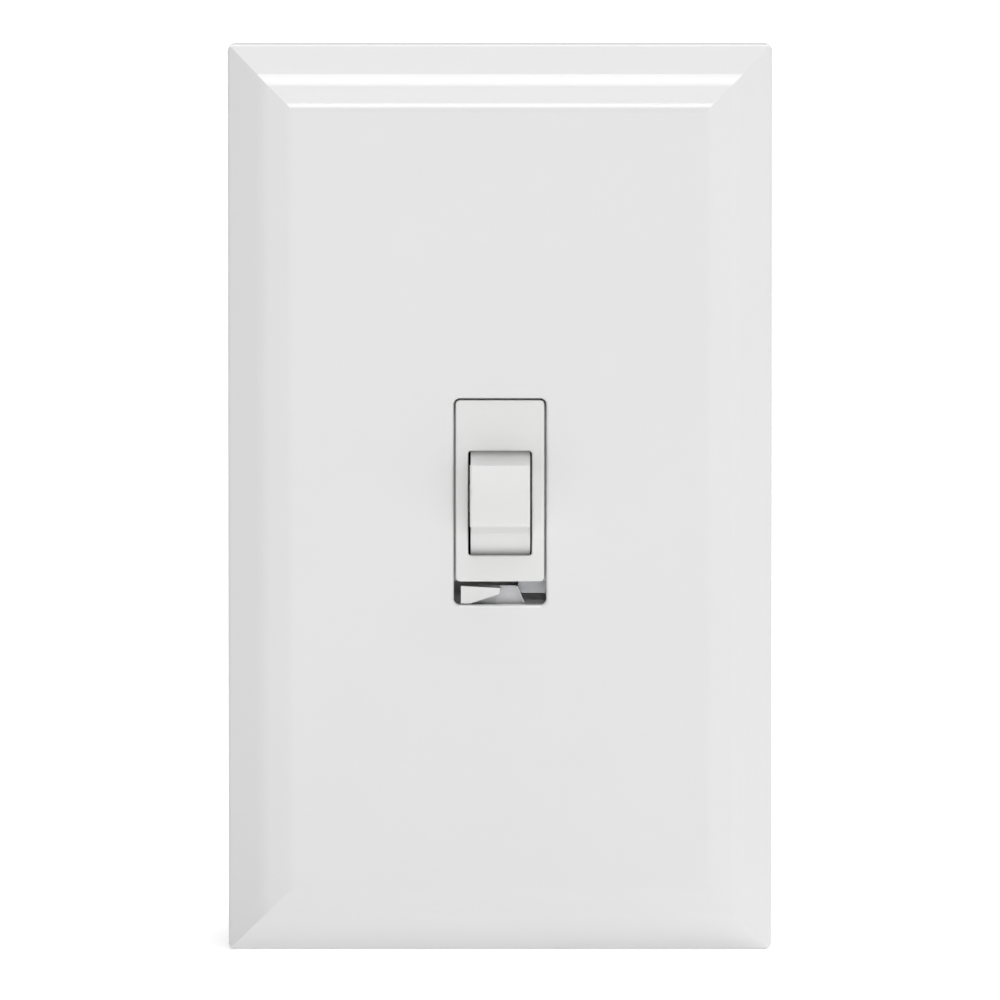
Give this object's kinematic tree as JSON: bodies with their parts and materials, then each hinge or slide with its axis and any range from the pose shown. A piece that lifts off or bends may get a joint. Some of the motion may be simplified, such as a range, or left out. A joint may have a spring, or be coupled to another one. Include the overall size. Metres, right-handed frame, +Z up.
{
  "type": "toggle wall switch",
  "caption": "Self-contained in-wall toggle switch with paddle lever under a screwless bevelled cover plate, with contacts, terminals, cable clamps and swing clamps.",
  "frame": {"origin": "centre of the cover plate on the wall plane, midway between the two wall screw holes", "axes": "+Z up along the plate's long side, +X right as seen from the room, -Y out of the wall towards the room, +Y into the wall"},
  "size_m": [0.0698, 0.048, 0.1166],
  "materials": {
    "plate_plastic": "satin gloss white",
    "housing_plastic": "satin white",
    "toggle_plastic": "satin white",
    "latch_steel": "plain steel leaf",
    "strap_steel": "zinc plated",
    "spring_steel": "spring wire",
    "bridge_plastic": "matte black thermoset",
    "screw_steel": "zinc plated",
    "fibre_sheet": "vulcanised fibre",
    "spring_bronze": "phosphor bronze strip",
    "silver_contact": "silver alloy",
    "rivet_brass": "plain brass",
    "terminal_brass": "stamped brass",
    "brass_screw": "brass screw",
    "plate_steel": "zinc plated",
    "silver_screw": "nickel plated",
    "green_screw": "green dyed",
    "cover_plastic": "fine matte white",
    "bar_plastic": "fine matte white",
    "ring_steel": "spring steel",
    "wing_zinc": "die-cast zinc"
  },
  "bodies": {
    "housing": {"front_housing": "housing_plastic", "plate_latch": "latch_steel", "mounting_strap": "strap_steel", "toggle_spring": "spring_steel", "bearing_bridge": "bridge_plastic", "bridge_screws": "screw_steel", "insulating_barrier": "fibre_sheet", "line_terminal": "terminal_brass", "load_terminal": "terminal_brass", "fixed_contact": "silver_contact", "terminal_screws": "brass_screw", "pressure_plates": "plate_steel", "neutral_bar": "terminal_brass", "neutral_screws": "silver_screw", "neutral_plates": "plate_steel", "ground_screw": "green_screw", "rear_cover": "cover_plastic", "case_screws": "screw_steel"},
    "cover": {"wall_plate": "plate_plastic"},
    "toggle": {"toggle_lever": "toggle_plastic"},
    "contact": {"contact_arm": "spring_bronze", "moving_contact": "silver_contact", "arm_rivet": "rivet_brass"},
    "cable_clamp_upper": {"cable_bar_upper": "bar_plastic", "cable_bar_screws_upper": "screw_steel"},
    "cable_clamp_lower": {"cable_bar_lower": "bar_plastic", "cable_bar_screws_lower": "screw_steel"},
    "swing_upper": {"swing_screw_upper": "screw_steel", "swing_ring_upper": "ring_steel"},
    "wing_upper": {"swing_wing_upper": "wing_zinc"},
    "swing_lower": {"swing_screw_lower": "screw_steel", "swing_ring_lower": "ring_steel"},
    "wing_lower": {"swing_wing_lower": "wing_zinc"}
  },
  "joints": [
    {"name": "toggle_throw", "type": "hinge", "parent": "housing", "child": "toggle", "pos_m": [0, 0.0032, -0.0005], "axis": [1, 0, 0], "range_deg": [0, 10.4], "deforming": ["toggle_spring"]},
    {"name": "contact_flex", "type": "hinge", "parent": "housing", "child": "contact", "pos_m": [0.009, 0.00943, 0.0146], "axis": [1, 0, 0], "range_deg": [0, 3.3]},
    {"name": "cover_pull", "type": "slide", "parent": "housing", "child": "cover", "axis": [0, -1, 0], "range_m": [0, 0.025]},
    {"name": "cable_clamp_upper_travel", "type": "slide", "parent": "housing", "child": "cable_clamp_upper", "axis": [0, -1, 0], "range_m": [0, 0.002]},
    {"name": "cable_clamp_lower_travel", "type": "slide", "parent": "housing", "child": "cable_clamp_lower", "axis": [0, -1, 0], "range_m": [0, 0.002]},
    {"name": "swing_upper_turn", "type": "hinge", "parent": "housing", "child": "swing_upper", "pos_m": [0.015, 0, 0.0435], "axis": [0, 1, 0], "range_deg": [0, 90]},
    {"name": "wing_upper_travel", "type": "slide", "parent": "swing_upper", "child": "wing_upper", "axis": [0, -1, 0], "range_m": [0, 0.016]},
    {"name": "swing_lower_turn", "type": "hinge", "parent": "housing", "child": "swing_lower", "pos_m": [-0.015, 0, -0.0435], "axis": [0, 1, 0], "range_deg": [0, 90]},
    {"name": "wing_lower_travel", "type": "slide", "parent": "swing_lower", "child": "wing_lower", "axis": [0, -1, 0], "range_m": [0, 0.016]}
  ],
  "couplings": [
    {"joint": "contact_flex", "follows": "toggle_throw", "ratio": 0.302}
  ]
}
